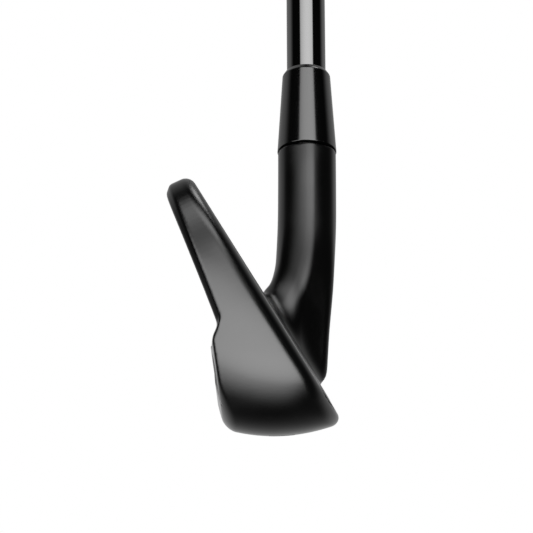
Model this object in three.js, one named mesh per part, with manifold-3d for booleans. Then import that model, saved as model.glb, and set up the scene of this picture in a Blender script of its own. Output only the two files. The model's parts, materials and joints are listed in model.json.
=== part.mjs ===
// Iron golf club, right-handed, built as the separate pieces it is made from.
// Millimetres, +Z up. +X runs from the toe to the heel and the face looks towards -Y.
// The origin is the middle of the small flat on the sole that the club rests on.
// The blade has its own directions: x along the face, s up the face, t into the head.
import * as THREE from 'three';
import { mergeVertices } from 'three/addons/utils/BufferGeometryUtils.js';
import { ParametricGeometry } from 'three/addons/geometries/ParametricGeometry.js';
import Module from 'manifold-3d';

const wasm = await Module();
wasm.setup();

// Angles and the placing of the shaft and face.
const LIE = THREE.MathUtils.degToRad(62.5);
const LOFT = THREE.MathUtils.degToRad(33);
const CLUB_LENGTH = 939.8;
const AXIS_X = 36.5;
const AXIS_Y = -9.5;
const FACE_Y = -14.8;
const GAP = 0.3;

// Blade, in x and s on the face.
const TOE_X = -38;
const TOE_S = 23.5;
const PEAK_X = -23;
const PEAK_S = 63;
const HEEL_END_X = 24;
const TOPLINE_SLOPE = 0.633;
const TOPLINE_S_AT_ORIGIN = 48.7;
const TOPLINE_WIDTH = 6.1;
const BACK_TAPER = 0.132;

// Muscle at the bottom of the back, and the sole under it.
const LEDGE_S = 35.4;
const LEDGE_SLOPE = 0.1;
const LEADING_EDGE_Z = 3.2;
const TRAILING_Y = 11.8;
const TRAILING_Z = 2.1;
const BACK_LEAN = 0.162;
const SOLE_FLAT_X = 8;
const SOLE_FLAT_Y = 3;
const SOLE_TOE_RADIUS = 19;
const SOLE_CAMBER = 0.8;

// Hosel, its bore and the ferrule.
const HOSEL_TOP = 61.6;
const HOSEL_R = 6.7;
const HOSEL_JOIN = 37;
const BORE_R = 4.85;
const BORE_DEPTH = 27;
const FERRULE_LENGTH = 20.5;
const FERRULE_BASE_R = 6.85;
const FERRULE_TOP_R = 5.65;

// Hollow in the head, and the wall left round it.
const FACE_THICKNESS = 2;
const FACE_RIM = 2.6;
const HOLLOW_RIM = 5.2;
const HOLLOW_WALL = 2.5;
const HOLLOW_FLOOR = 5;
const MUSCLE_WALL = 5.2;
const HOLLOW_HEEL_X = 19;

// Score lines in the face.
const SCORE_COUNT = 11;
const SCORE_FIRST_S = 8.5;
const SCORE_PITCH = 3.6;
const SCORE_WIDTH = 0.85;
const SCORE_DEPTH = 0.45;
const SCORE_HALF_LENGTH = 24;
const SCORE_MARGIN = 9;

// Weight in the low toe, as sizes and a middle along x, y and z.
const WEIGHT_SIZE = [10, 14, 9];
const WEIGHT_PLACE = [-27, 2, 9];

// Plug of the foam's filling hole.
const SCREW_R = 2;
const SCREW_LENGTH = 5;
const SCREW_HEAD = 1.2;
const SCREW_HEAD_R = 3;
const SOCKET_R = 1.2;

// Shaft, stepped from a taper tip to a parallel butt.
const TIP_R = 4.51;
const TIP_TOP_R = 4.66;
const BUTT_R = 7.62;
const SHAFT_WALL = 0.42;
const PLUG_FLANGE = 2;
const PLUG_LENGTH = 14;
const SHAFT_TIP = HOSEL_TOP - BORE_DEPTH + PLUG_FLANGE + 2 * GAP;
const STEP_FIRST = 235;
const STEP_COUNT = 14;
const STEP_PITCH = 38.1;

// Grip, its tape and its cap.
const GRIP_LENGTH = 267;
const GRIP_MOUTH_R = 9.1;
const GRIP_BUTT_R = 13;
const CAP_R = 15.2;
const CAP_THICKNESS = 3.5;
const CAP_VENT_R = 1.2;
const CAP_SPIGOT = 4;
const SHAFT_BUTT = CLUB_LENGTH - CAP_THICKNESS - GAP;
const TAPE_THICKNESS = 0.25;
const SLEEVE_CLEARANCE = 0.15;

// Badge on the muscle.
const BADGE_LENGTH = 34;
const BADGE_HEIGHT = 8;
const BADGE_THICKNESS = 1;
const BADGE_TAPE = 0.5;
const BADGE_SUNK = 0.25;
const BADGE_RECESS = BADGE_SUNK + BADGE_THICKNESS + BADGE_TAPE + 2 * GAP;
const BADGE_X = -13;
const BADGE_Z = 12.5;

// Places the blade's x, s and outward face normal in the club's frame.
const bladeFrame = new THREE.Matrix4().makeBasis(
  new THREE.Vector3(1, 0, 0),
  new THREE.Vector3(0, Math.sin(LOFT), Math.cos(LOFT)),
  new THREE.Vector3(0, -Math.cos(LOFT), Math.sin(LOFT)),
).setPosition(0, FACE_Y, 0);

// Places the badge on the back of the muscle: local x towards the heel, y up, z into the head.
const muscleFrame = new THREE.Matrix4().makeBasis(
  new THREE.Vector3(1, 0, 0),
  new THREE.Vector3(0, Math.sin(Math.atan(BACK_LEAN)), Math.cos(Math.atan(BACK_LEAN))),
  new THREE.Vector3(0, -Math.cos(Math.atan(BACK_LEAN)), Math.sin(Math.atan(BACK_LEAN))),
).setPosition(BADGE_X, TRAILING_Y + (BADGE_Z - TRAILING_Z) * BACK_LEAN, BADGE_Z);
const shaftDirection = new THREE.Vector3(Math.cos(LIE), 0, Math.sin(LIE));

// Everything on the shaft sits in this group: local z runs up the shaft axis from the ground.
const shaftFrame = new THREE.Group();
shaftFrame.position.set(AXIS_X, AXIS_Y, 0);
shaftFrame.rotation.y = Math.PI / 2 - LIE;
shaftFrame.updateMatrixWorld();

// ---------------------------------------------------------------- solids

// A closed geometry as a manifold-3d solid, without its zero-area triangles.
function solid(geometry) {
  const bare = geometry.clone();
  bare.deleteAttribute('normal');
  bare.deleteAttribute('uv');
  const merged = mergeVertices(bare, 1e-4);
  const index = merged.index.array;
  const triangles = [];
  for (let i = 0; i < index.length; i += 3) {
    const [a, b, c] = index.slice(i, i + 3);
    if (a !== b && b !== c && c !== a) triangles.push(a, b, c);
  }
  return new wasm.Manifold(new wasm.Mesh({
    numProp: 3,
    vertProperties: new Float32Array(merged.attributes.position.array),
    triVerts: new Uint32Array(triangles),
  }));
}

function geometryOf(body) {
  const mesh = body.getMesh();
  const geometry = new THREE.BufferGeometry();
  geometry.setAttribute('position', new THREE.BufferAttribute(new Float32Array(mesh.vertProperties), 3));
  geometry.setIndex(new THREE.BufferAttribute(new Uint32Array(mesh.triVerts), 1));
  geometry.computeVertexNormals();
  return geometry;
}

// A shape pulled along local z, with its outline grown by `grow`.
function pull(shape, depth, grow = 0) {
  return new THREE.ExtrudeGeometry(shape, {
    depth,
    curveSegments: 10,
    bevelEnabled: grow !== 0,
    bevelThickness: 0,
    bevelSize: 0,
    bevelOffset: grow,
    bevelSegments: 0,
  });
}

// A shape in x and s, from depth tNear to tFar behind the face.
function alongFaceNormal(shape, tNear, tFar, grow = 0) {
  const geometry = pull(shape, tFar - tNear, grow).translate(0, 0, -tFar);
  return solid(geometry.applyMatrix4(bladeFrame));
}

// A shape in y and z, pulled along x.
function alongX(shape, xFrom, xTo, grow = 0) {
  const geometry = pull(shape, xTo - xFrom, grow).translate(0, 0, xFrom);
  const axes = new THREE.Matrix4().makeBasis(
    new THREE.Vector3(0, 1, 0),
    new THREE.Vector3(0, 0, 1),
    new THREE.Vector3(1, 0, 0),
  );
  return solid(geometry.applyMatrix4(axes));
}

// A shape in x and z, pulled along y.
function alongY(shape, yFrom, yTo) {
  const geometry = pull(shape, yTo - yFrom).translate(0, 0, -yTo);
  return solid(geometry.rotateX(Math.PI / 2));
}

// A shape in s and -t, pulled along x and sheared so that it falls by `slope` towards the heel.
function alongTopline(shape, xFrom, xTo, slope) {
  const geometry = pull(shape, xTo - xFrom).translate(0, 0, xFrom);
  const axes = new THREE.Matrix4().makeBasis(
    new THREE.Vector3(0, 1, 0),
    new THREE.Vector3(0, 0, 1),
    new THREE.Vector3(1, 0, 0),
  );
  const shear = new THREE.Matrix4().makeShear(-slope, 0, 0, 0, 0, 0);
  return solid(geometry.applyMatrix4(axes).applyMatrix4(shear).applyMatrix4(bladeFrame));
}

function polygon(points) {
  return new THREE.Shape(points.map(([a, b]) => new THREE.Vector2(a, b)));
}

// A solid of revolution about local z from [radius, z] pairs that close on themselves.
function turned(profile, segments = 32) {
  const points = [...profile, profile[0]].map(([r, z]) => new THREE.Vector2(r, z));
  return new THREE.LatheGeometry(points, segments).rotateX(Math.PI / 2);
}

// ---------------------------------------------------------------- blade

function toplineS(x) {
  return TOPLINE_S_AT_ORIGIN - TOPLINE_SLOPE * x;
}

// Toe and topline, from the widest point of the toe to the heel end.
function addToeAndTopline(shape) {
  const shoulderX = -6;
  shape.bezierCurveTo(TOE_X, 43, -33, PEAK_S, PEAK_X, PEAK_S);
  shape.bezierCurveTo(-17, PEAK_S, shoulderX - 4, toplineS(shoulderX - 4), shoulderX, toplineS(shoulderX));
  shape.lineTo(HEEL_END_X, toplineS(HEEL_END_X));
}

// The whole blade seen square to the face. It runs on below the sole.
function bladeOutline() {
  const shape = new THREE.Shape();
  shape.moveTo(HEEL_END_X, -20);
  shape.lineTo(TOE_X, -20);
  shape.lineTo(TOE_X, TOE_S);
  addToeAndTopline(shape);
  return shape;
}

// The flat of the face, above the rounding of the leading edge.
function faceOutline() {
  const low = LEADING_EDGE_Z / Math.cos(LOFT);
  const shape = new THREE.Shape();
  shape.moveTo(HEEL_END_X, low);
  shape.lineTo(-20, low);
  shape.bezierCurveTo(-31, low, TOE_X, 13, TOE_X, TOE_S);
  addToeAndTopline(shape);
  return shape;
}

// The sole from the front: flat in the middle, rising to a round toe and to the heel.
function soleSilhouette() {
  const centreX = TOE_X + SOLE_TOE_RADIUS;
  const centreZ = SOLE_TOE_RADIUS + SOLE_CAMBER;
  const shape = new THREE.Shape();
  shape.moveTo(HEEL_END_X, 80);
  shape.lineTo(TOE_X, 80);
  shape.lineTo(TOE_X, centreZ);
  shape.absarc(centreX, centreZ, SOLE_TOE_RADIUS, Math.PI, Math.PI * 1.48, false);
  shape.lineTo(-SOLE_FLAT_X, 0);
  shape.lineTo(SOLE_FLAT_X, 0);
  shape.lineTo(HEEL_END_X, SOLE_CAMBER);
  return shape;
}

// The head from the side: face, leading edge, sole, trailing edge and muscle. Open above the muscle.
function sideSection() {
  const openZ = 32;
  const topZ = 80;
  const roll = 3.5;
  const edgeY = FACE_Y + LEADING_EDGE_Z * Math.tan(LOFT);
  const shape = new THREE.Shape();
  shape.moveTo(-SOLE_FLAT_Y, 0);
  shape.lineTo(SOLE_FLAT_Y, 0);
  shape.lineTo(TRAILING_Y - roll, TRAILING_Z - 1);
  shape.quadraticCurveTo(TRAILING_Y, TRAILING_Z, TRAILING_Y + roll * BACK_LEAN, TRAILING_Z + roll);
  shape.lineTo(TRAILING_Y + (openZ - TRAILING_Z) * BACK_LEAN, openZ);
  shape.lineTo(topZ, openZ);
  shape.lineTo(topZ, topZ);
  shape.lineTo(FACE_Y + topZ * Math.tan(LOFT), topZ);
  shape.lineTo(edgeY + 1, LEADING_EDGE_Z + 1 / Math.tan(LOFT));
  shape.quadraticCurveTo(edgeY, LEADING_EDGE_Z, edgeY + 1.8, LEADING_EDGE_Z - 0.8);
  shape.quadraticCurveTo(-6.5, 0.1, -SOLE_FLAT_Y, 0);
  return shape;
}

// The upper blade, parallel to the topline at its top and thicker downwards.
function upperBlade(grow) {
  const thickness = (s) => TOPLINE_WIDTH + BACK_TAPER * (TOPLINE_S_AT_ORIGIN - s) + grow;
  const [low, high] = [-25, 90];
  const wedge = polygon([[low, 20], [low, -thickness(low)], [high, -thickness(high)], [high, 20]]);
  return alongTopline(wedge, -60, 60, TOPLINE_SLOPE);
}

// The room under the muscle's ledge, in plan drawn in towards the heel.
function muscleRoom(grow) {
  const plan = new THREE.Shape();
  plan.moveTo(-60, -40);
  plan.lineTo(60, -40);
  plan.lineTo(60, 4);
  plan.lineTo(HEEL_END_X, 6.8);
  plan.quadraticCurveTo(10, 12, -8, 20);
  plan.lineTo(-60, 45);
  const ledge = polygon([[LEDGE_S + grow, 20], [-50, 20], [-50, -60], [LEDGE_S + grow, -60]]);
  const room = solid(pull(plan, 160, grow).translate(0, 0, -40));
  return room.intersect(alongTopline(ledge, -60, 60, LEDGE_SLOPE));
}

function bladeSolid() {
  return alongX(sideSection(), -60, HEEL_END_X)
    .intersect(alongFaceNormal(bladeOutline(), -40, 60))
    .intersect(alongY(soleSilhouette(), -60, 60))
    .intersect(upperBlade(0).add(muscleRoom(0)));
}

// The hollow from the side, closed in by `shrink` all round.
function hollowSection(shrink) {
  const wall = HOLLOW_WALL + shrink;
  const floor = HOLLOW_FLOOR + shrink;
  const [low, high] = [floor, 80];
  const front = (z) => FACE_Y + z * Math.tan(LOFT) + wall / Math.cos(LOFT);
  const back = (z) => TRAILING_Y - MUSCLE_WALL - shrink + (z - TRAILING_Z) * BACK_LEAN;
  const openZ = 35;
  return polygon([
    [front(low), low],
    [back(low) - 3, low],
    [back(low + 3), low + 3],
    [back(openZ), openZ],
    [high, openZ],
    [high, high],
    [front(high), high],
  ]);
}

function hollowSolid(shrink) {
  const rim = -HOLLOW_RIM - shrink;
  const wall = -HOLLOW_WALL - shrink;
  return alongX(hollowSection(shrink), -60, HOLLOW_HEEL_X - shrink)
    .intersect(alongFaceNormal(faceOutline(), -40, 60, rim))
    .intersect(upperBlade(wall).add(muscleRoom(wall)));
}

// ---------------------------------------------------------------- hosel

// Point at `height` along the shaft axis and `r` from it; turn 0 is the side towards the toe.
function aroundAxis(height, r, turn) {
  const axis = new THREE.Vector3(AXIS_X, AXIS_Y, 0).addScaledVector(shaftDirection, height);
  const toToe = new THREE.Vector3(-Math.sin(LIE), 0, Math.cos(LIE));
  axis.addScaledVector(toToe, r * Math.cos(turn));
  axis.y += r * Math.sin(turn);
  return axis;
}

// The heel end of the blade as a closed outline in y and z.
function heelOutline() {
  const s = toplineS(HEEL_END_X);
  const across = (up, into) => [
    FACE_Y + up * Math.sin(LOFT) + into * Math.cos(LOFT),
    up * Math.cos(LOFT) - into * Math.sin(LOFT),
  ];
  const edgeY = FACE_Y + LEADING_EDGE_Z * Math.tan(LOFT);
  return polygon([
    across(s, TOPLINE_WIDTH / 2),
    across(s, TOPLINE_WIDTH),
    [6.8, 22],
    [6.8, 2.6],
    [2, SOLE_CAMBER],
    [-4, SOLE_CAMBER],
    [edgeY + 1.8, LEADING_EDGE_Z - 0.8],
    [edgeY + 0.6, LEADING_EDGE_Z + 1.2],
    across(s, 0),
    across(s, TOPLINE_WIDTH / 2),
  ]);
}

// The heel: one curve for each point round the outline, from the blade up into the round hosel.
function heelBlend() {
  const around = 48;
  const along = 10;
  const outline = heelOutline().getSpacedPoints(around);
  const blade = outline.map((point) => new THREE.Vector3(HEEL_END_X, point.x, point.y));
  const topZ = Math.max(...blade.map((point) => point.z));
  const strands = blade.map((start, i) => {
    const end = aroundAxis(HOSEL_JOIN, HOSEL_R - 0.02, (i / around) * 2 * Math.PI);
    const reach = start.distanceTo(end) / 2;
    const leave = new THREE.Vector3(1, 0, -TOPLINE_SLOPE * Math.cos(LOFT) * (start.z / topZ)).normalize();
    const first = start.clone().addScaledVector(leave, reach);
    const second = end.clone().addScaledVector(shaftDirection, -reach);
    return new THREE.CubicBezierCurve3(start, first, second, end);
  });
  const middle = (ring) => ring.reduce((sum, p) => sum.add(p), new THREE.Vector3()).divideScalar(ring.length);
  const rings = [];
  for (let j = 0; j <= along; j += 1) rings.push(strands.map((strand) => strand.getPoint(j / along)));
  const capped = [rings[0].map(() => middle(rings[0])), ...rings, rings[along].map(() => middle(rings[along]))];
  const surface = (u, v, target) => {
    const ring = capped[Math.round(v * (capped.length - 1))];
    target.copy(ring[(around - Math.round(u * around)) % around]);
  };
  return solid(new ParametricGeometry(surface, around, capped.length - 1));
}

// A solid of revolution about the shaft axis, in the club's frame.
function turnedOnShaft(profile, segments) {
  return solid(turned(profile, segments).applyMatrix4(shaftFrame.matrixWorld));
}

function hoselSolid() {
  const bottom = HOSEL_JOIN - 0.5;
  const rim = 0.5;
  return turnedOnShaft([
    [0, bottom],
    [HOSEL_R, bottom],
    [HOSEL_R, HOSEL_TOP - rim],
    [HOSEL_R - rim, HOSEL_TOP],
    [0, HOSEL_TOP],
  ], 48);
}

function boreSolid() {
  const floor = HOSEL_TOP - BORE_DEPTH;
  return turnedOnShaft([[0, floor - 1.5], [BORE_R, floor], [BORE_R, HOSEL_TOP + 5], [0, HOSEL_TOP + 5]]);
}

// ---------------------------------------------------------------- pieces of the head

function faceSeat() {
  const seat = alongFaceNormal(faceOutline(), -4, FACE_THICKNESS + GAP, GAP - FACE_RIM);
  const window = alongFaceNormal(faceOutline(), 1, HOLLOW_WALL + 2, -HOLLOW_RIM);
  return seat.add(window);
}

// A rounded bar on the back of the muscle, from `shallow` to `deep` below its surface.
function badgeBlock(shallow, deep, grow) {
  const halfLength = BADGE_LENGTH / 2;
  const halfHeight = BADGE_HEIGHT / 2;
  const shape = new THREE.Shape();
  shape.moveTo(-halfLength, -halfHeight);
  shape.lineTo(halfLength - halfHeight, -halfHeight);
  shape.absarc(halfLength - halfHeight, 0, halfHeight, -Math.PI / 2, Math.PI / 2, false);
  shape.lineTo(-halfLength, halfHeight);
  const geometry = pull(shape, deep - shallow, grow).translate(0, 0, shallow);
  return solid(geometry.applyMatrix4(muscleFrame));
}

function portHole(radius, from, to) {
  const profile = [[0, from], [radius, from], [radius, to], [0, to]];
  return solid(turned(profile, 24).applyMatrix4(muscleFrame));
}

function headBody() {
  return bladeSolid()
    .add(heelBlend())
    .add(hoselSolid())
    .subtract(boreSolid())
    .subtract(hollowSolid(0))
    .subtract(faceSeat())
    .subtract(badgeBlock(-2, BADGE_RECESS, GAP))
    .subtract(portHole(SCREW_HEAD_R + GAP, 0, BADGE_RECESS + SCREW_HEAD + GAP))
    .subtract(portHole(SCREW_R + GAP, 0, 9));
}

// Straight grooves across the face, ending short of the topline.
function scoreLines() {
  let lines = null;
  for (let i = 0; i < SCORE_COUNT; i += 1) {
    const s = SCORE_FIRST_S + i * SCORE_PITCH;
    const heelX = Math.min(SCORE_HALF_LENGTH, (TOPLINE_S_AT_ORIGIN - s) / TOPLINE_SLOPE - SCORE_MARGIN);
    const length = heelX + SCORE_HALF_LENGTH;
    const geometry = new THREE.BoxGeometry(length, SCORE_WIDTH, 2 * SCORE_DEPTH);
    const groove = solid(geometry.translate(heelX - length / 2, s, 0).applyMatrix4(bladeFrame));
    lines = lines ? lines.add(groove) : groove;
  }
  return lines;
}

function facePlate() {
  return alongFaceNormal(faceOutline(), 0, FACE_THICKNESS, -FACE_RIM).subtract(scoreLines());
}

function weightBlock(grow) {
  const [width, depth, height] = WEIGHT_SIZE.map((size) => size + 2 * grow);
  const box = new THREE.BoxGeometry(width, depth, height).translate(...WEIGHT_PLACE);
  return solid(box);
}

function hollowFilling() {
  const behindFace = alongFaceNormal(bladeOutline(), FACE_THICKNESS + 2 * GAP, 60);
  return hollowSolid(GAP).intersect(behindFace);
}

function toeWeight() {
  return hollowFilling().intersect(weightBlock(0));
}

function foamCore() {
  return hollowFilling().subtract(weightBlock(GAP)).subtract(portHole(SCREW_R + GAP, 0, 9));
}

// The plug that closes the foam's filling hole: a low flat head with a hexagon socket.
function fillPortScrew() {
  const profile = [
    [0, BADGE_RECESS],
    [SCREW_HEAD_R, BADGE_RECESS],
    [SCREW_HEAD_R, BADGE_RECESS + SCREW_HEAD],
    [SCREW_R, BADGE_RECESS + SCREW_HEAD],
    [SCREW_R, BADGE_RECESS + SCREW_LENGTH],
    [0, BADGE_RECESS + SCREW_LENGTH],
  ];
  const socket = new THREE.CylinderGeometry(SOCKET_R, SOCKET_R, 2 * SCREW_HEAD, 6);
  socket.rotateX(Math.PI / 2).translate(0, 0, BADGE_RECESS);
  return solid(turned(profile, 24).applyMatrix4(muscleFrame))
    .subtract(solid(socket.applyMatrix4(muscleFrame)));
}

// ---------------------------------------------------------------- pieces on the shaft

// The ferrule: a short straight foot, a cone, and a rolled shoulder where the shaft comes out.
function ferrule() {
  const bottom = HOSEL_TOP + GAP;
  const top = bottom + FERRULE_LENGTH;
  const shoulder = 2.5;
  const boreR = TIP_TOP_R + SLEEVE_CLEARANCE;
  const profile = [
    [boreR, bottom],
    [FERRULE_BASE_R, bottom],
    [FERRULE_BASE_R, bottom + 1.5],
    [FERRULE_TOP_R, top - shoulder],
  ];
  for (let i = 1; i <= 4; i += 1) {
    const turn = (i / 4) * (Math.PI / 2);
    const inwards = (FERRULE_TOP_R - boreR - 0.25) * (1 - Math.cos(turn));
    profile.push([FERRULE_TOP_R - inwards, top - shoulder + shoulder * Math.sin(turn)]);
  }
  profile.push([boreR, top]);
  return turned(profile);
}

// Outside radius of the shaft, as [radius, height] corners with a short cone at each step.
function shaftOutside() {
  const stepHeight = 1;
  const corners = [[TIP_R, SHAFT_TIP], [TIP_TOP_R, SHAFT_TIP + STEP_FIRST]];
  for (let i = 0; i < STEP_COUNT; i += 1) {
    const z = SHAFT_TIP + STEP_FIRST + i * STEP_PITCH;
    const r = TIP_TOP_R + ((BUTT_R - TIP_TOP_R) * (i + 1)) / STEP_COUNT;
    corners.push([r, z + stepHeight], [r, z + STEP_PITCH]);
  }
  corners[corners.length - 1][1] = SHAFT_BUTT;
  return corners;
}

function shaft() {
  const outside = shaftOutside();
  const inside = outside.map(([r, z]) => [r - SHAFT_WALL, z]).reverse();
  return turned([...outside, ...inside], 28);
}

// A brass plug in the shaft's tip, with a flange that the tip stands on.
function tipWeight() {
  const bottom = SHAFT_TIP - GAP - PLUG_FLANGE;
  const plugR = TIP_R - SHAFT_WALL - GAP;
  return turned([
    [0, bottom],
    [TIP_R - 0.3, bottom],
    [TIP_R, bottom + 0.3],
    [TIP_R, bottom + PLUG_FLANGE],
    [plugR, bottom + PLUG_FLANGE],
    [plugR, bottom + PLUG_LENGTH],
    [0, bottom + PLUG_LENGTH],
  ], 32);
}

function gripTape() {
  const inner = BUTT_R + SLEEVE_CLEARANCE;
  const outer = inner + TAPE_THICKNESS;
  const [low, high] = [CLUB_LENGTH - GRIP_LENGTH + 8, SHAFT_BUTT - 1];
  return turned([[inner, low], [outer, low], [outer, high], [inner, high]]);
}

// The rubber sleeve: a thin mouth, a bead above it, then a long taper to the butt.
function grip() {
  const inner = BUTT_R + TAPE_THICKNESS + 2 * SLEEVE_CLEARANCE;
  const mouth = CLUB_LENGTH - GRIP_LENGTH;
  const top = CLUB_LENGTH - CAP_THICKNESS - GAP;
  return turned([
    [inner, mouth],
    [GRIP_MOUTH_R - 0.3, mouth],
    [GRIP_MOUTH_R, mouth + 1],
    [GRIP_MOUTH_R, mouth + 5],
    [GRIP_MOUTH_R - 0.4, mouth + 6],
    [(GRIP_MOUTH_R + GRIP_BUTT_R) / 2 - 0.3, (mouth + top) / 2],
    [GRIP_BUTT_R, top - 22],
    [CAP_R - 0.7, top - 6],
    [CAP_R, top - 3],
    [CAP_R, top],
    [inner, top],
  ], 36);
}

// The end cap: a rolled rim, a flat end, a spigot in the shaft's mouth and a vent through it all.
function gripCap() {
  const bottom = CLUB_LENGTH - CAP_THICKNESS;
  const roll = 2.2;
  const spigotR = BUTT_R - SHAFT_WALL - GAP;
  const profile = [
    [CAP_VENT_R, bottom - CAP_SPIGOT],
    [spigotR, bottom - CAP_SPIGOT],
    [spigotR, bottom],
    [CAP_R, bottom],
    [CAP_R, CLUB_LENGTH - roll],
  ];
  for (let i = 1; i <= 5; i += 1) {
    const turn = (i / 5) * (Math.PI / 2);
    profile.push([CAP_R - roll * (1 - Math.cos(turn)), CLUB_LENGTH - roll + roll * Math.sin(turn)]);
  }
  profile.push([CAP_VENT_R, CLUB_LENGTH]);
  return turned(profile, 36);
}

// ---------------------------------------------------------------- assembly

function finish(color, roughness, metalness) {
  return new THREE.MeshStandardMaterial({ color, roughness, metalness });
}

function part(name, geometry, material, parent) {
  const mesh = new THREE.Mesh(geometry, material);
  mesh.name = name;
  parent.add(mesh);
}

const satinBlack = finish(0x1c1c1e, 0.42, 0.6);
const glossBlack = finish(0x0b0b0c, 0.12, 0.5);
const glossPlastic = finish(0x060606, 0.15, 0);
const faceSteel = finish(0x55565a, 0.4, 1);
const tungsten = finish(0x6c6c70, 0.5, 1);
const brass = finish(0xb5954a, 0.35, 1);
const foam = finish(0xd8d2c0, 0.95, 0);
const rubber = finish(0x18181a, 0.85, 0);
const tape = finish(0xe4e0d4, 0.8, 0);
const badgeMetal = finish(0x3a3b3e, 0.3, 1);

const club = new THREE.Group();
club.name = 'iron_golf_club';
part('head_body', geometryOf(headBody()), satinBlack, club);
part('face_plate', geometryOf(facePlate()), faceSteel, club);
part('foam_core', geometryOf(foamCore()), foam, club);
part('toe_weight', geometryOf(toeWeight()), tungsten, club);
part('fill_port_screw', geometryOf(fillPortScrew()), tungsten, club);
part('badge_tape', geometryOf(badgeBlock(BADGE_RECESS - GAP - BADGE_TAPE, BADGE_RECESS - GAP, 0)), tape, club);
part('back_badge', geometryOf(badgeBlock(BADGE_SUNK, BADGE_SUNK + BADGE_THICKNESS, 0)), badgeMetal, club);

club.add(shaftFrame);
part('tip_weight', tipWeight(), brass, shaftFrame);
part('shaft', shaft(), glossBlack, shaftFrame);
part('ferrule', ferrule(), glossPlastic, shaftFrame);
part('grip_tape', gripTape(), tape, shaftFrame);
part('grip', grip(), rubber, shaftFrame);
part('grip_cap', gripCap(), rubber, shaftFrame);

export default club;
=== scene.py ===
"""Iron golf club: the looks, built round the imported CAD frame. Run by Blender 4.5."""
import json
import math

import bmesh
import bpy
import numpy as np
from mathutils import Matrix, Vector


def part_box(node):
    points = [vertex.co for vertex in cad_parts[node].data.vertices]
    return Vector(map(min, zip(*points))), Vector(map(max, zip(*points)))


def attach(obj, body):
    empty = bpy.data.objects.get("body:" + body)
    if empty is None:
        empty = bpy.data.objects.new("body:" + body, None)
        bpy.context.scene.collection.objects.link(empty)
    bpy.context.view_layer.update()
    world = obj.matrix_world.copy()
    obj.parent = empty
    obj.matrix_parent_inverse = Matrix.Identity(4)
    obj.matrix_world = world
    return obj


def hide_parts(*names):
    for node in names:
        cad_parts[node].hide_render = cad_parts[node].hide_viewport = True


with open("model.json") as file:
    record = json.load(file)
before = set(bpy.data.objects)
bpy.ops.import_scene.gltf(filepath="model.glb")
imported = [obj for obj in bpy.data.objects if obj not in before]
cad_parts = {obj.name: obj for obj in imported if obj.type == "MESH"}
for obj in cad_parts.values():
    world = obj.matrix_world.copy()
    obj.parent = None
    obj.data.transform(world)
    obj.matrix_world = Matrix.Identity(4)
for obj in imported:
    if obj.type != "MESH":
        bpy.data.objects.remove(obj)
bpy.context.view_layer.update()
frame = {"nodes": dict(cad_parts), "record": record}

import openvdb
from mathutils import Matrix, Vector

MM = 0.001
GAP = 0.3                   # millimetres between neighbouring pieces, as in the CAD

# ------------------------------------------------------------------ places from the frame, millimetres

MOUNTS = {mount["name"]: mount for mount in frame["record"]["mounts"]}
BUTT = Vector(MOUNTS["butt_end"]["pos_m"]) / MM
SHAFT_AXIS = Vector(MOUNTS["butt_end"]["axis"]).normalized()
CLUB_LENGTH = BUTT.z / SHAFT_AXIS.z


def box_mm(node):
    low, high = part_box(node)
    return low / MM, high / MM


AXIS_Y = sum(corner.y for corner in box_mm("grip_cap")) / 2
AXIS_FOOT = Vector((BUTT.x - CLUB_LENGTH * SHAFT_AXIS.x, AXIS_Y, 0))
TO_TOE = Vector((-SHAFT_AXIS.z, 0, SHAFT_AXIS.x))


def heights(node):
    """Lowest and highest point of a node along the shaft axis."""
    along = [(Vector(v.co) / MM - AXIS_FOOT).dot(SHAFT_AXIS) for v in frame["nodes"][node].data.vertices]
    return min(along), max(along)


TOE_X = box_mm("head_body")[0].x

# ------------------------------------------------------------------ the head's dimensions, millimetres

LOFT = math.radians(33)
FACE_Y = -14.8              # where the face plane meets the ground
LEADING_EDGE_Z = 3.2
FACE_SEAT_RIM = 2.3         # metal left round the face plate's seat
FACE_SEAT_DEPTH = 2.3
TOE_S = 23.5                # widest point of the toe, measured up the face
PEAK = (-23, 63)            # highest point of the blade
TOPLINE_SLOPE = 0.633
TOPLINE_S = 48.7            # topline on the face at x = 0
CROTCH_S = 29.7             # where the topline runs out into the hosel
TOPLINE_WIDTH = 5.9
BACK_TAPER = 0.085
BACK_HOLLOW = 0.0015
TOP_TILT = 0.12             # how far the top leans up towards the back
TOE_CROWN = 60              # twice the radius of the toe's crown from front to back
LEDGE_SLOPE = 0.12
LEDGE_S = 32.3              # top of the muscle's ledge at x = 0, measured up the face
LEDGE_T = 10.1              # its depth behind the face
LEDGE_NORMAL = (0.549, 0.836)
MUSCLE_Y = 6.8              # where the muscle's heel end stands at HEEL_X
MUSCLE_SPREAD = 0.41        # how fast it widens towards the toe
MUSCLE_SCALE = 1.08         # length of that plane's normal
SOLE_MIDDLE_Y = 2.2
SOLE_ROCK = 69              # twice the sole's radius from front to back
SOLE_CAMBER = 520           # twice the sole's radius from toe to heel
TOE_CORNER_R = 19
TRAILING = (11.78, 2.1)     # y and z where the back meets the sole
BACK_LEAN = 0.162
HEEL_X = 24
HOSEL_R = 6.7
HEEL_CURVE = (32, 45.8)     # x where the sole starts to turn up, and x of the corner it rounds off
HEEL_FADE = (12, 19)
HEEL_FILLET = 8.5
NECK_BEND_Z = 38            # height at which the neck starts to bend
NECK_UPRIGHT = 0.08
NECK_LEAN = 0.066
NECK_FLATS = (              # depth, direction, and the heights where each is full and where it starts
    (4.8, math.radians(27), (13, 40)),
    (1.5, math.radians(-22), (24, 40)),
)
HOSEL_TOP = heights("ferrule")[0] - GAP
BORE_R = 4.85
BORE_DEPTH = 27
EDGE_CHAMFER = 1.45
BADGE_HEIGHT = 8
BADGE_DEPTH = 2.1
DRAWN_IN = 1.9              # how far the face plate's edge is drawn in at the toe
SOLE_BAR_X = -22.6
SOLE_BAR_REACH = 2.6        # half its length, from front to back
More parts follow.
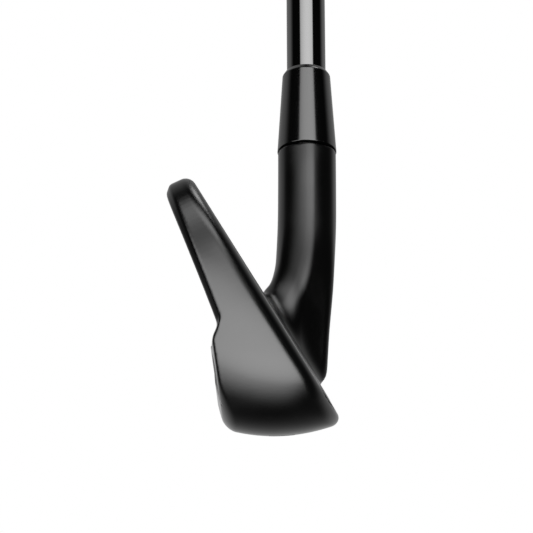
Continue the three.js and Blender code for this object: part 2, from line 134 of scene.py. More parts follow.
SOLE_BAR_WIDTH = 0.8
PAINT_PROUD = 0.02
PAINT_DEPTH = 0.15

GRID = 0.42                 # spacing of the head's distance grid


# ------------------------------------------------------------------ distance fields


def smooth_step(low, high, value):
    t = np.clip((value - low) / (high - low), 0, 1)
    return t * t * (3 - 2 * t)


def smooth_max(a, b, k):
    h = np.clip(0.5 + 0.5 * (a - b) / k, 0, 1)
    return b + (a - b) * h + k * h * (1 - h)


def smooth_min(a, b, k):
    return -smooth_max(-a, -b, k)


def round_max(a, b, r):
    """Where two solids meet, with their common edge rolled to radius r."""
    corner = np.sqrt(np.maximum(a + r, 0) ** 2 + np.maximum(b + r, 0) ** 2)
    return np.minimum(np.maximum(a, b), -r) + corner


def bezier(points, count):
    t = np.linspace(0, 1, count)[:, None]
    a, b, c, d = [np.array(p, float) for p in points]
    return (1 - t) ** 3 * a + 3 * (1 - t) ** 2 * t * b + 3 * (1 - t) * t * t * c + t ** 3 * d


class Outline:
    """Signed distance to a closed outline in a plane, sampled on a fine grid."""

    def __init__(self, points, clip=None):
        self.step = step = 0.25
        margin = 12
        points = np.array(points, float)
        low, high = clip if clip else (points.min(0) - margin, points.max(0) + margin)
        self.low = np.array(low, float)
        count = np.ceil((np.array(high) - self.low) / step).astype(int) + 1
        u = self.low[0] + step * np.arange(count[0])[:, None]
        v = self.low[1] + step * np.arange(count[1])[None, :]
        nearest = np.full(count, 1e9)
        inside = np.zeros(count, bool)
        for a, b in zip(points, np.roll(points, -1, axis=0)):
            along = b - a
            length = along @ along
            if length < 1e-12:
                continue
            t = np.clip(((u - a[0]) * along[0] + (v - a[1]) * along[1]) / length, 0, 1)
            gap = (u - a[0] - t * along[0]) ** 2 + (v - a[1] - t * along[1]) ** 2
            nearest = np.minimum(nearest, gap)
            crosses = (a[1] > v) != (b[1] > v)
            if along[1]:
                inside ^= crosses & (u < a[0] + (v - a[1]) * along[0] / along[1])
        self.values = np.where(inside, -1, 1) * np.sqrt(nearest)

    def __call__(self, u, v):
        i = np.clip((u - self.low[0]) / self.step, 0, self.values.shape[0] - 1.001)
        j = np.clip((v - self.low[1]) / self.step, 0, self.values.shape[1] - 1.001)
        i0, j0 = i.astype(int), j.astype(int)
        fi, fj = i - i0, j - j0
        f = self.values
        low = f[i0, j0] * (1 - fi) + f[i0 + 1, j0] * fi
        high = f[i0, j0 + 1] * (1 - fi) + f[i0 + 1, j0 + 1] * fi
        return low * (1 - fj) + high * fj


def topline_s(x):
    return TOPLINE_S - TOPLINE_SLOPE * x


def toe_and_topline(end_x):
    shoulder = -6
    toe = bezier([(TOE_X, TOE_S), (TOE_X, 43), (-33, PEAK[1]), PEAK], 40)
    bend = [PEAK, (-17, PEAK[1]), (shoulder - 4, topline_s(shoulder - 4)), (shoulder, topline_s(shoulder))]
    return [*toe, *bezier(bend, 24)[1:], (end_x, topline_s(end_x))]


def blade_outline():
    """The blade square to the face, in x and s, running on below the sole and past the heel."""
    turn = [(27, topline_s(27)), (29.5, topline_s(29.5)), (31, CROTCH_S), (35, CROTCH_S)]
    top = [*toe_and_topline(27), *bezier(turn, 12)[1:], (70, CROTCH_S)]
    return Outline([*top, (70, -30), (TOE_X, -30)], clip=((-50, -20), (45, 75)))


def sole_outline():
    """The sole from the front, in x and z: a round toe corner, the camber, and the curve of the heel."""
    join = TOE_X + TOE_CORNER_R - 1.1
    slope = 2 * join / SOLE_CAMBER
    size = math.hypot(1, slope)
    centre = np.array([join - TOE_CORNER_R * slope / size, join ** 2 / SOLE_CAMBER + TOE_CORNER_R / size])
    turn = np.linspace(math.pi, 1.5 * math.pi + math.atan(slope), 40)
    corner = [centre + TOE_CORNER_R * np.array([math.cos(a), math.sin(a)]) for a in turn]
    camber = [(x, x * x / SOLE_CAMBER) for x in np.linspace(join, HEEL_CURVE[0], 50)[1:]]
    rise = 2 * HEEL_CURVE[0] / SOLE_CAMBER
    tip = (HEEL_CURVE[1], camber[-1][1] + rise * (HEEL_CURVE[1] - HEEL_CURVE[0]))
    lean = SHAFT_AXIS.x / SHAFT_AXIS.z
    end = (tip[0] + 14 * lean, tip[1] + 14)
    heel = bezier([camber[-1], (tip[0] - 4.5, tip[1]), (tip[0] - 2 * lean, tip[1] - 2), end], 24)[1:]
    far = (end[0] + 60 * lean, end[1] + 60)
    outline = [(corner[0][0], 110), *corner, *camber, *heel, far, (far[0], 110)]
    return Outline(outline, clip=((-50, -12), (76, 80)))


def face_outline():
    """The blade's outline on the face, in x and s, as far as the leading edge."""
    low = LEADING_EDGE_Z / math.cos(LOFT)
    corner = bezier([(-20, low), (-31, low), (TOE_X, 13), (TOE_X, TOE_S)], 24)
    return Outline([(HEEL_X, low), *corner, *toe_and_topline(HEEL_X)[1:]])


BLADE_OUTLINE = blade_outline()
FACE_OUTLINE = face_outline()
SOLE_OUTLINE = sole_outline()


def face_coordinates(y, z):
    """Distance s up the face and t into the head."""
    s = (y - FACE_Y) * math.sin(LOFT) + z * math.cos(LOFT)
    t = (y - FACE_Y) * math.cos(LOFT) - z * math.sin(LOFT)
    return s, t


def back_field(x, y, z, s, t):
    """The back: a thin upper blade over a muscle, with a sloping ledge between them."""
    down = np.maximum(topline_s(x) - s, 0)
    thickness = TOPLINE_WIDTH + BACK_TAPER * down + BACK_HOLLOW * down * down
    plan = (y - MUSCLE_Y - MUSCLE_SPREAD * (HEEL_X - x)) / MUSCLE_SCALE
    upper = smooth_max(t - thickness, plan - 3, 3)
    lean = math.hypot(1, BACK_LEAN)
    muscle = (y - TRAILING[0] - BACK_LEAN * (z - TRAILING[1])) / lean
    muscle = smooth_max(muscle, plan, 3)
    ledge_s = LEDGE_S - LEDGE_SLOPE * x
    ledge = LEDGE_NORMAL[0] * (t - LEDGE_T) + LEDGE_NORMAL[1] * (s - ledge_s)
    return upper, round_max(muscle, ledge, 0.7)


def toe_crown(off):
    """How far the toe falls away from its middle, more towards the face than towards the back."""
    return np.where(off < 0, 1, 0.35) * off * off / TOE_CROWN


def blade_parts(x, y, z):
    """The blade's outline, face and back fields, and the sole's."""
    s, t = face_coordinates(y, z)
    toe = smooth_step(-20, -34, x)
    wall = BLADE_OUTLINE(x, s - TOP_TILT * t) + toe_crown(t - 8) * toe * smooth_step(54, 38, s)
    rock = SOLE_ROCK * (1 + 4 * smooth_step(10, 38, x))
    sole = SOLE_OUTLINE(x, z - (y - SOLE_MIDDLE_Y) ** 2 / rock)
    sole = sole + toe_crown(y - 1.5) * toe * smooth_step(2, 10, z)
    upper, muscle = back_field(x, y, z, s, t)
    return wall, -t, upper, muscle, sole


def closed_blade(rim, face, upper, muscle, roll, trailing):
    front = round_max(rim, face, roll)
    body = round_max(front, smooth_min(upper, muscle, 0.7), trailing)
    bevel = (front + upper + EDGE_CHAMFER) * math.sqrt(0.5)
    return round_max(body, smooth_min(bevel, muscle, 0.7), 0.35)


def gradient(field, points, step=0.08):
    result = np.empty_like(points)
    for axis in range(3):
        offset = np.zeros(3)
        offset[axis] = step
        ahead, behind = points + offset, points - offset
        result[:, axis] = field(*ahead.T) - field(*behind.T)
    return result / np.maximum(np.linalg.norm(result, axis=1, keepdims=True), 1e-9)


# ------------------------------------------------------------------ hosel and heel


def axis_coordinates(x, y, z):
    """Height along the shaft axis, and the distances from it in its own plane and along y."""
    px, py, pz = x - AXIS_FOOT.x, y - AXIS_FOOT.y, z - AXIS_FOOT.z
    height = px * SHAFT_AXIS.x + pz * SHAFT_AXIS.z
    across = px * SHAFT_AXIS.z - pz * SHAFT_AXIS.x
    return height, across, py


def stem_field(x, y, z):
    """The hosel, which turns upright and leans back towards the blade as it runs down into the heel."""
    below = NECK_BEND_Z - z
    run = (np.sqrt(below * below + 25) + below) / 2 * smooth_step(NECK_BEND_Z + 18, NECK_BEND_Z + 6, z)
    height, across, py = axis_coordinates(x - NECK_UPRIGHT * run, y - NECK_LEAN * run, z)
    tube = round_max(np.hypot(across, py) - HOSEL_R, height - HOSEL_TOP, 0.35)
    for cut, turn, (low, high) in NECK_FLATS:
        out = (x - AXIS_FOOT.x - z * SHAFT_AXIS.x / SHAFT_AXIS.z - NECK_UPRIGHT * run) * math.cos(turn)
        out = out + (y - AXIS_FOOT.y - NECK_LEAN * run) * math.sin(turn)
        flat = cut * smooth_step(high, low, z) - HOSEL_R / SHAFT_AXIS.z - out
        tube = round_max(tube, flat, 1.5)
    return tube


def badge_recess(x, y, z):
    """Room for the badge and its tape in the back of the muscle, round at the heel end."""
    low, high = box_mm("back_badge")
    half = BADGE_HEIGHT / 2
    lean = math.atan(BACK_LEAN)
    depth = (TRAILING[0] + BACK_LEAN * (z - TRAILING[1]) - y) * math.cos(lean)
    up = (z - (low.z + high.z) / 2) / math.cos(lean)
    flat = np.maximum(np.abs(up) - half, low.x - x)
    end = np.hypot(x - high.x + half, up) - half
    outline = np.where(x > high.x - half, end, flat) - 0.25
    return round_max(outline, depth - BADGE_DEPTH, 0.3)


def drawn_in(x):
    """How far the face plate's edge stands further in at the toe, clear of the toe's wider roll."""
    return DRAWN_IN * smooth_step(-4, -26, x)


def face_seat(x, y, z):
    """Room for the face plate."""
    s, t = face_coordinates(y, z)
    return round_max(FACE_OUTLINE(x, s) + FACE_SEAT_RIM + drawn_in(x), t - FACE_SEAT_DEPTH, 0.3)


def head_field(x, y, z):
    wall, face, upper, muscle, sole = blade_parts(x, y, z)
    toe = smooth_step(-14, -30, x)
    low = smooth_step(14, 5, z)
    trailing = 0.8 + 1.8 * low
    roll = 1.1 + 1.5 * toe + 0.6 * low
    blade = closed_blade(smooth_max(wall, sole, 1.5), face, upper, muscle, roll, trailing)
    height, across, py = axis_coordinates(x, y, z)
    stem = stem_field(x, y, z)
    open_blade = closed_blade(wall, face, upper, muscle, 1.1, 0.8)
    fillet_r = HEEL_FILLET * (0.4 + 0.6 * smooth_step(8, 20, z))
    heel = round_max(smooth_min(open_blade, stem, fillet_r), sole, 1.0)
    to_heel = smooth_step(HEEL_FADE[0], HEEL_FADE[1], x)
    outside = blade * (1 - to_heel) + heel * to_heel
    outside = round_max(outside, -badge_recess(x, y, z), 0.35)
    outside = round_max(outside, -face_seat(x, y, z), 0.12)
    bore = np.maximum(np.hypot(across, py) - BORE_R, HOSEL_TOP - BORE_DEPTH - height)
    return np.maximum(outside, -bore)


# ------------------------------------------------------------------ meshes


def new_object(name, vertices, faces, smooth=True):
    mesh = bpy.data.meshes.new(name)
    mesh.from_pydata([tuple(v) for v in vertices], [], [tuple(f) for f in faces])
    mesh.validate()
    if smooth:
        mesh.polygons.foreach_set("use_smooth", np.ones(len(mesh.polygons), bool))
    obj = bpy.data.objects.new(name, mesh)
    bpy.context.scene.collection.objects.link(obj)
    return obj


def skin(field, low, high, step):
    """The surface of a distance field as quads, with its points drawn onto the exact surface."""
    low = np.array(low, float)
    count = np.ceil((np.array(high) - low) / step).astype(int) + 1
    axes = [low[i] + step * np.arange(count[i]) for i in range(3)]
    x, y, z = np.meshgrid(*axes, indexing="ij", sparse=False)
    values = field(x.ravel(), y.ravel(), z.ravel()).reshape(count).astype(np.float32)
    grid = openvdb.FloatGrid(background=3 * step)
    grid.copyFromArray(np.clip(values, -3 * step, 3 * step))
    points, triangles, quads = grid.convertToPolygons(isovalue=0, adaptivity=0)
    points = points.astype(float) * step + low
    for _ in range(3):
        distance = field(*points.T)[:, None]
        points -= np.clip(distance, -step, step) * gradient(field, points)
    return points, [*triangles.tolist(), *quads.tolist()]


def draw_in_face(form):
    """Moves the face plate's outer edge in at the toe, in its own plane."""
    for vertex in form.verts:
        x, y, z = [np.array([value / MM]) for value in vertex.co]
        s, t = face_coordinates(y, z)
        if FACE_OUTLINE(x, s)[0] < -FACE_SEAT_RIM - 0.6:
            continue
        slope = np.array([FACE_OUTLINE(x + 0.3, s) - FACE_OUTLINE(x - 0.3, s),
                          FACE_OUTLINE(x, s + 0.3) - FACE_OUTLINE(x, s - 0.3)])
        slope = slope / np.linalg.norm(slope) * drawn_in(x)
        x, s = x - slope[0], s - slope[1]
        y = FACE_Y + s * math.sin(LOFT) + t * math.cos(LOFT)
        z = s * math.cos(LOFT) - t * math.sin(LOFT)
        vertex.co = (x[0] * MM, y[0] * MM, z[0] * MM)


def bevelled(name, node, width, reshape=None):
    """A copy of a CAD node with its flats made whole again and its edges broken."""
    mesh = frame["nodes"][node].data.copy()
    mesh.materials.clear()
    mesh.name = name
    form = bmesh.new()
    form.from_mesh(mesh)
    bmesh.ops.remove_doubles(form, verts=form.verts, dist=1e-6)
    bmesh.ops.dissolve_limit(form, angle_limit=math.radians(1), verts=form.verts, edges=form.edges)
    if reshape:
        reshape(form)
    sharp = [edge for edge in form.edges if edge.calc_face_angle(0) > math.radians(32)]
    bmesh.ops.bevel(form, geom=sharp, offset=width * MM, segments=2, profile=0.6, affect="EDGES")
    form.to_mesh(mesh)
    form.free()
    mesh.polygons.foreach_set("use_smooth", np.ones(len(mesh.polygons), bool))
    obj = bpy.data.objects.new(name, mesh)
    bpy.context.scene.collection.objects.link(obj)
    weighted = obj.modifiers.new("weighted", "WEIGHTED_NORMAL")
    weighted.keep_sharp = True
    return obj


def turned(name, profile, segments=128, ripple=None):
    """A closed solid of revolution on the shaft axis from [radius, height] pairs."""
    radius, height = np.array(profile, float).T[:, :, None]
    turn = (np.arange(segments) * 2 * math.pi / segments)[None, :]
    if ripple:
        radius = radius + ripple(radius, turn, height)
    points = np.array(AXIS_FOOT) + height[..., None] * np.array(SHAFT_AXIS)
    points = points - (radius * np.cos(turn))[..., None] * np.array(TO_TOE)
    points = points + (radius * np.sin(turn))[..., None] * np.array((0, 1, 0))
    low = np.arange(len(profile))[:, None] * segments + np.arange(segments)
    high, after = np.roll(low, -1, axis=0), np.roll(low, -1, axis=1)
    quads = np.stack([low, after, np.roll(high, -1, axis=1), high], -1).reshape(-1, 4)
    obj = new_object(name, points.reshape(-1, 3) * MM, quads.tolist())
    obj.data.set_sharp_from_angle(angle=math.radians(35))
    return obj


def fillet(profile, radius):
    """The closed profile with each corner rounded, by up to a third of its shorter side."""
    steps = 5
    points = [Vector(p) for p in profile]
    result = []
    for k, corner in enumerate(points):
        before, after = points[k - 1] - corner, points[(k + 1) % len(points)] - corner
        bend = math.pi - before.angle(after)
        if bend < 0.02:
            result.append(corner)
            continue
        reach = min(radius * math.tan(bend / 2), before.length / 3, after.length / 3)
        back, on = before.normalized(), after.normalized()
        start, end = corner + back * reach, corner + on * reach
        result.append(start + back * min(0.3, 0.3 * reach))
        for step in range(steps + 1):
            t = step / steps
            result.append((1 - t) ** 2 * start + 2 * t * (1 - t) * corner + t * t * end)
        result.append(end + on * min(0.3, 0.3 * reach))
    return [tuple(p) for p in result]


# ------------------------------------------------------------------ head


def build_head():
    low = (TOE_X - 2, -19, -2)
    top = AXIS_FOOT + SHAFT_AXIS * HOSEL_TOP
    points, faces = skin(head_field, low, (top.x + 8, 28, top.z + 5), GRID)
    shell = new_object("head_shell", points * MM, faces)
    shell.data.normals_split_custom_set_from_vertices(gradient(head_field, points, 0.25).tolist())
    return shell


head = build_head()
face = bevelled("face_insert", "face_plate", 0.12, draw_in_face)
badge = bevelled("badge_plate", "back_badge", 0.25)

# ------------------------------------------------------------------ ferrule, shaft, grip


def ferrule_profile():
    low, high = heights("ferrule")
    bore = 4.85
    foot, neck = 6.85, 5.6
    outside = [(foot - 0.05, low), (foot, low + 0.05), (neck, high - 1.0), (neck - 0.65, high)]
    return fillet([(bore, low), *outside, (bore, high)], 0.7)


def outer_profile(node):
    """Corners of a turned CAD node's outside, as [radius, height] from its foot upwards."""
    corners = {}
    for vertex in frame["nodes"][node].data.vertices:
        place = Vector(vertex.co) / MM - AXIS_FOOT
        height = place.dot(SHAFT_AXIS)
        radius = (place - SHAFT_AXIS * height).length
        key = round(height, 2)
        corners[key] = max(corners.get(key, 0), radius)
    return [(corners[key], key) for key in sorted(corners)]


SHAFT_WALL = 0.42
GRIP_BORE = 8.17
GRIP_DIAMONDS = 18
GRIP_BANDS = (88, 165)      # plain bands, from the mouth
GROOVE_DEPTH = 0.45


def build_shaft():
    outside = outer_profile("shaft")
    inside = [(radius - SHAFT_WALL, height) for radius, height in reversed(outside)]
    return turned("shaft_tube", outside + inside, 96)


def grip_ripple(radius, turn, height):
    """Moulded diamond grooves between plain bands, and fine rings above the mouth."""
    low, high = heights("grip")
    count = GRIP_DIAMONDS / (2 * math.pi)
    pitch = 2 * math.pi * 11 / GRIP_DIAMONDS
    grooves = 0
    for lean in (-1, 1):
        phase = np.abs((turn * count + lean * height / pitch + 0.5) % 1 - 0.5) * pitch
        grooves = np.maximum(grooves, smooth_step(0.75, 0.25, phase))
    along = height - low
    band = smooth_step(14, 16, along) * smooth_step(high - low - 26, high - low - 28, along)
    for middle in GRIP_BANDS:
        band = band * smooth_step(3, 4.5, np.abs(along - middle))
    rings = smooth_step(0.5, 0.2, np.abs((along / 2.2) % 1 - 0.5) * 2.2) * smooth_step(7, 8, along)
    rings = rings * smooth_step(13.5, 12.5, along)
    depth = GROOVE_DEPTH * grooves * band + 0.3 * rings
    return np.where(radius > GRIP_BORE + 0.5, -depth, 0)


def build_grip():
    corners = outer_profile("grip")
    at = np.array([height for _, height in corners])
    wide = np.array([radius for radius, _ in corners])
    steps = np.arange(at[0] + 0.15, at[-1] - 0.1, 0.62)
    outside = [(float(np.interp(height, at, wide)), float(height)) for height in steps]
    foot, top = outside[0], outside[-1]
    profile = [(GRIP_BORE, at[0]), (foot[0] - 0.3, at[0]), *outside, (top[0], at[-1]), (GRIP_BORE, at[-1])]
    return turned("grip_sleeve", profile, 112, grip_ripple)


def build_cap():
    """The end cap: rolled rim, a shallow ring round the vent and the spigot inside the shaft."""
    bottom, top = heights("grip")[1] + GAP, heights("grip_cap")[1]
    rim, vent, spigot = 15.2, 1.2, 6.9
    end = [(rim, bottom), (rim, top), (10.2, top), (10.0, top - 0.5), (9.0, top - 0.5), (8.8, top)]
    centre = [(3.2, top), (2.6, top - 0.4), (vent, top - 0.4), (vent, bottom - 4), (spigot, bottom - 4)]
    rolled = fillet([*end, *centre, (spigot, bottom)], 2.0)
    return turned("grip_cap_moulded", rolled, 96)


# ------------------------------------------------------------------ paint on the sole


def onto_sole(x, y):
    """The height of the sole at each x, y."""
    z = np.full(len(x), 0.0)
    for _ in range(12):
        slope = (head_field(x, y, z + 0.05) - head_field(x, y, z - 0.05)) / 0.1
        z = z - head_field(x, y, z) / np.where(np.abs(slope) < 0.2, -0.2, slope)
    return z


def painted_bar(name, start, end, width):
    """A painted stroke on the sole between two x, y places, standing a little proud of it."""
    start, end = np.array(start, float), np.array(end, float)
    along = end - start
    count = max(4, int(np.linalg.norm(along) / 0.25))
    side = np.array([-along[1], along[0]]) / np.linalg.norm(along) * width / 2
    t = np.linspace(0, 1, count)[:, None]
    rows = [start + along * t + side * across for across in (1, 0.33, -0.33, -1)]
    plan = np.concatenate(rows)
    z = onto_sole(*plan.T)
    skin_points = np.column_stack([plan, z - PAINT_PROUD])
    deep_points = np.column_stack([plan, z + PAINT_DEPTH])
    total = len(plan)
    faces = []
    for row in range(3):
        for k in range(count - 1):
            a, b = row * count + k, (row + 1) * count + k
            faces += [(a, a + 1, b + 1, b), (total + b, total + b + 1, total + a + 1, total + a)]
    last = 3 * count
    ring = [*range(count), *range(2 * count - 1, last, count), *range(last + count - 1, last - 1, -1),
            *range(2 * count, 0, -count)]
    for a, b in zip(ring, ring[1:] + ring[:1]):
        if a != b:
            faces.append((b, a, total + a, total + b))
    return new_object(name, np.concatenate([skin_points, deep_points]) * MM, faces, smooth=False)


# A plain straight bar near the toe, from front to back.
mark = painted_bar("sole_bar", (SOLE_BAR_X, -SOLE_BAR_REACH), (SOLE_BAR_X, SOLE_BAR_REACH), SOLE_BAR_WIDTH)
ferrule = turned("ferrule_cone", ferrule_profile())
shaft = build_shaft()
grip = build_grip()
cap = build_cap()

SLOTS = {
    "head_body": "head_black", "face_plate": "face_steel", "foam_core": "foam", "toe_weight": "tungsten",
    "fill_port_screw": "screw_steel", "badge_tape": "badge_tape", "back_badge": "badge_metal",
    "tip_weight": "brass", "shaft": "shaft_black", "ferrule": "ferrule_plastic", "grip_tape": "grip_tape",
    "grip": "grip_rubber", "grip_cap": "cap_rubber",
}
PIECES = ((head, "head_body"), (face, "face_plate"), (badge, "back_badge"), (ferrule, "ferrule"),
          (shaft, "shaft"), (grip, "grip"), (cap, "grip_cap"))

for piece, node in PIECES:
    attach(piece, "root")
    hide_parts(node)
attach(mark, "root")

# ------------------------------------------------------------------ materials


class Nodes:
    """A short way to write shader nodes: inputs by name or number, as values or as links."""

    def __init__(self, tree):
        self.tree = tree
        tree.nodes.clear()

    def add(self, kind, inputs=None, **settings):
        node = self.tree.nodes.new("ShaderNode" + kind)
        for name, value in settings.items():
            setattr(node, name, value)
        for name, value in (inputs or {}).items():
            if isinstance(value, bpy.types.NodeSocket):
                self.tree.links.new(value, node.inputs[name])
            else:
                node.inputs[name].default_value = value
        return node

    def math(self, operation, *values, clamp=False):
        node = self.add("Math", dict(enumerate(values)), operation=operation, use_clamp=clamp)
        return node.outputs[0]

    def ramp(self, value, low, high, to_low=0.0, to_high=1.0):
        inputs = {"Value": value, "From Min": low, "From Max": high, "To Min": to_low, "To Max": to_high}
        return self.add("MapRange", inputs, interpolation_type="SMOOTHSTEP").outputs["Result"]

    def noise(self, place, scale, detail):
        inputs = {"Vector": place, "Scale": scale, "Detail": detail, "Roughness": 0.5}
        return self.add("TexNoise", inputs).outputs["Fac"]

    def mix(self, factor, a, b):
        node = self.add("Mix", data_type="RGBA")
        for name, value in (("Factor", factor), ("A", a), ("B", b)):
            sockets = [i for i in node.inputs if i.name == name and i.enabled]
            socket = next(i for i in sockets if (name == "Factor") == (i.type == "VALUE"))
            if isinstance(value, bpy.types.NodeSocket):
                self.tree.links.new(value, socket)
            else:
                socket.default_value = value
        return next(o for o in node.outputs if o.enabled)


def grey(value, warm=0.0):
    return (value * (1 + warm), value, value * (1 - warm), 1)


PATCH_SCALE = 45            # of the slow changes in tone


def finish(name, dark, light, roughness, grain, metallic=0.0, ior=1.5, stretch=(1, 1, 1), bump=0.1,
           rough_spread=0.05, wear=0.0, sheen=0.0, satin=False):
    """A surface with a fine grain, slow changes in tone and roughness, and paler worn edges."""
    material = bpy.data.materials.new(name)
    material.use_nodes = True
    n = Nodes(material.node_tree)
    place = n.add("TexCoord").outputs["Object"]
    along = n.add("Mapping", {"Vector": place, "Scale": stretch}).outputs[0]
    fine = n.noise(along, grain, 3)
    slow = n.noise(place, PATCH_SCALE, 3)
    colour = n.mix(slow, dark, light)
    if wear:
        edge = n.ramp(n.add("NewGeometry").outputs["Pointiness"], 0.53, 0.62)
        scuffed = n.math("MULTIPLY", edge, n.ramp(n.noise(place, 900, 4), 0.35, 0.7))
        worn = tuple(min(1, 3 * c + 0.02) for c in light[:3]) + (1,)
        colour = n.mix(n.math("MULTIPLY", scuffed, wear), colour, worn)
    spread = n.ramp(slow, 0.3, 0.7, roughness - rough_spread, roughness + rough_spread)
    bumped = n.add("Bump", {"Height": fine, "Strength": bump, "Distance": 0.00012}).outputs[0]
    if satin:
        under = n.add("BsdfDiffuse", {"Color": colour, "Normal": bumped})
        over = n.add("BsdfAnisotropic", {"Color": grey(1), "Roughness": spread, "Normal": bumped},
                     distribution="BECKMANN")
        weight = n.add("Fresnel", {"IOR": ior, "Normal": bumped})
        surface = n.add("MixShader", {0: weight.outputs[0], 1: under.outputs[0], 2: over.outputs[0]})
    else:
        surface = n.add("BsdfPrincipled", {
            "Base Color": colour,
            "Roughness": spread,
            "Metallic": metallic,
            "IOR": ior,
            "Normal": bumped,
            "Sheen Weight": sheen,
        })
    n.add("OutputMaterial", {"Surface": surface.outputs[0]})
    return material


FINISHES = {
    "head_black": finish("satin_black", grey(0.0015), grey(0.0025), 0.36, 2600, ior=1.58, bump=0.04,
                         wear=0.04, satin=True),
    "paint": finish("black_paint", grey(0.0006), grey(0.001), 0.6, 2000, ior=1.15, bump=0.1),
    "face_steel": finish("milled_face", grey(0.05), grey(0.075), 0.38, 1600, metallic=0.85,
                         stretch=(0.04, 1, 1), bump=0.25),
    "foam": finish("foam_fill", grey(0.6, 0.08), grey(0.72, 0.08), 0.9, 900, bump=0.8),
    "tungsten": finish("sintered_tungsten", grey(0.22), grey(0.3), 0.5, 1800, metallic=1, bump=0.3),
    "screw_steel": finish("screw_steel", grey(0.25), grey(0.34), 0.35, 2200, metallic=1, bump=0.1),
    "badge_tape": finish("foam_tape", grey(0.5, 0.04), grey(0.62, 0.04), 0.85, 1500, bump=0.4),
    "badge_metal": finish("brushed_badge", grey(0.012), grey(0.02), 0.36, 2400, metallic=0.9,
                          stretch=(0.03, 1, 1), bump=0.2, wear=0.1),
    "brass": finish("turned_brass", (0.45, 0.31, 0.09, 1), (0.55, 0.39, 0.13, 1), 0.35, 1900, metallic=1),
    "shaft_black": finish("gloss_black_shaft", grey(0.0008), grey(0.0012), 0.045, 700, ior=2.23, bump=0.01,
                          rough_spread=0.01),
    "ferrule_plastic": finish("gloss_black_plastic", grey(0.0008), grey(0.0012), 0.13, 900, ior=1.77,
                              bump=0.02, rough_spread=0.02),
    "grip_tape": finish("paper_tape", grey(0.6, 0.05), grey(0.7, 0.05), 0.8, 1300, bump=0.3),
    "grip_rubber": finish("moulded_rubber", grey(0.018), grey(0.026), 0.62, 1500, bump=0.5, sheen=0.1),
    "cap_rubber": finish("cap_rubber", grey(0.016), grey(0.022), 0.55, 1500, bump=0.35, sheen=0.1),
}

for node, obj in frame["nodes"].items():
    obj.data.materials.clear()
    obj.data.materials.append(FINISHES[SLOTS[node]])
for piece, node in PIECES:
    piece.data.materials.append(FINISHES[SLOTS[node]])
mark.data.materials.append(FINISHES["paint"])

# ------------------------------------------------------------------ floor, light and camera

FRONT_LIGHT = 5.6
WALL_LIGHT = 0.42
RIM_LIGHT = 6.0
CAMERA_PLACE = (-0.53396, 0.03124, 0.07497)     # metres
CAMERA_TURN = (-3.059, -4.457, 1.43)            # yaw, pitch and roll in degrees
CAMERA_LENS = 174.8


def build_floor():
    corners = [(-6, -6, 0), (6, -6, 0), (6, 6, 0), (-6, 6, 0)]
    floor = new_object("floor", corners, [(0, 1, 2, 3)], smooth=False)
    material = bpy.data.materials.new("pale_floor")
    material.use_nodes = True
    n = Nodes(material.node_tree)
    glow = n.add("Emission", {"Color": grey(1.0), "Strength": 1.0})
    n.add("OutputMaterial", {"Surface": glow.outputs[0]})
    floor.data.materials.append(material)
    floor.visible_glossy = False
    floor.visible_diffuse = False
    floor.visible_shadow = False


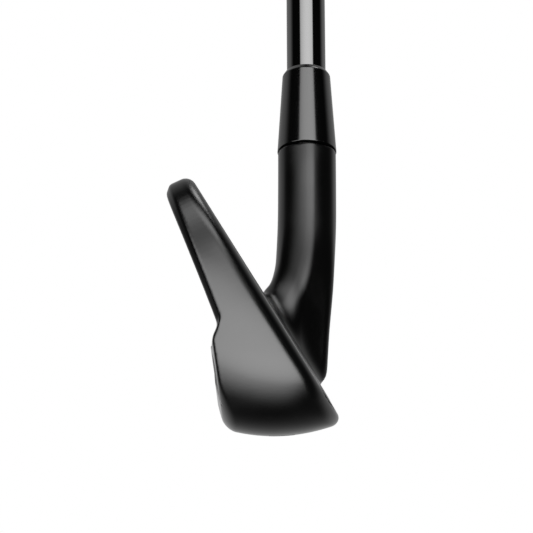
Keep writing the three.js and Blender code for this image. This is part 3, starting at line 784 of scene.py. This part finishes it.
def build_world():
    """A studio set up for this camera: a wide front light between dark flags, a pale wall and a rim light."""
    world = bpy.data.worlds.new("studio")
    world.use_nodes = True
    bpy.context.scene.world = world
    n = Nodes(world.node_tree)
    way = n.add("SeparateXYZ", {0: n.add("TexCoord").outputs["Generated"]})
    x, y, z = way.outputs
    degree = math.radians(1)
    turn = n.math("ARCTAN2", n.math("MULTIPLY", y, -1.0), n.math("MULTIPLY", x, -1.0))
    rise = n.math("ARCSINE", z)

    def between(value, a, b, c, d):
        falling = n.ramp(value, d * degree, c * degree)
        return n.math("MULTIPLY", n.ramp(value, a * degree, b * degree), falling)

    off_centre = n.math("DIVIDE", n.math("SUBTRACT", turn, 6 * degree), 55 * degree)
    hump = n.math("SUBTRACT", 1.0, n.math("MULTIPLY", 0.4, n.math("MULTIPLY", off_centre, off_centre)))
    right = n.ramp(rise, 30 * degree, 46 * degree, 36 * degree, 51 * degree)
    right = n.math("SUBTRACT", right, n.math("MULTIPLY", 12 * degree, between(rise, 4, 16, 30, 44)))
    edge = n.ramp(n.math("SUBTRACT", turn, right), -6 * degree, 2 * degree, 1.0, 0.0)
    across = n.math("MULTIPLY", n.math("MULTIPLY", n.ramp(turn, -55 * degree, -52 * degree), edge), hump)
    dip = n.math("MULTIPLY", between(rise, 0, 32, 38, 48), n.ramp(turn, 34 * degree, 8 * degree))
    across = n.math("MULTIPLY", across, n.math("SUBTRACT", 1.0, n.math("MULTIPLY", 0.85, dip)))
    low = n.ramp(rise, -74 * degree, -20 * degree)
    high = n.ramp(rise, 12 * degree, 62 * degree, 1.0, 0.6)
    top = n.ramp(rise, 60 * degree, 72 * degree, 1.0, 0.0)
    front = n.math("MULTIPLY", across, n.math("MULTIPLY", low, n.math("MULTIPLY", high, top)))
    front = n.math("MULTIPLY", front, FRONT_LIGHT)
    side = n.math("ABSOLUTE", turn)
    wall = n.ramp(side, 98 * degree, 126 * degree)
    wall = n.math("MULTIPLY", wall, between(rise, -85, -25, 50, 80))
    wall = n.math("MULTIPLY", wall, n.ramp(rise, 0, -30 * degree, 1.0, 1.4))
    wall = n.math("MULTIPLY", wall, WALL_LIGHT)
    rim = n.math("MULTIPLY", between(turn, 100, 114, 136, 152), between(rise, 48, 58, 66, 76))
    rim = n.math("MULTIPLY", rim, RIM_LIGHT)
    total = n.math("ADD", n.math("ADD", front, wall), rim)
    seen = n.add("LightPath").outputs["Is Camera Ray"]
    lit = n.add("Background", {"Color": grey(1.0), "Strength": total})
    plain = n.add("Background", {"Color": grey(1.0), "Strength": 1.0})
    both = n.add("MixShader", {0: seen, 1: lit.outputs[0], 2: plain.outputs[0]})
    n.add("OutputWorld", {"Surface": both.outputs[0]})


def build_camera():
    data = bpy.data.cameras.new("camera")
    data.lens = CAMERA_LENS
    data.sensor_width = 36
    data.clip_start = 0.01
    data.clip_end = 60
    camera = bpy.data.objects.new("camera", data)
    bpy.context.scene.collection.objects.link(camera)
    yaw, pitch, roll = [math.radians(angle) for angle in CAMERA_TURN]
    look = Vector((math.cos(pitch) * math.cos(yaw), math.cos(pitch) * math.sin(yaw), math.sin(pitch)))
    turn = look.to_track_quat("-Z", "Y").to_matrix() @ Matrix.Rotation(roll, 3, "Z")
    camera.matrix_world = Matrix.Translation(CAMERA_PLACE) @ turn.to_4x4()
    bpy.context.scene.camera = camera


build_floor()
build_world()
build_camera()
bpy.context.scene.view_settings.view_transform = "Standard"
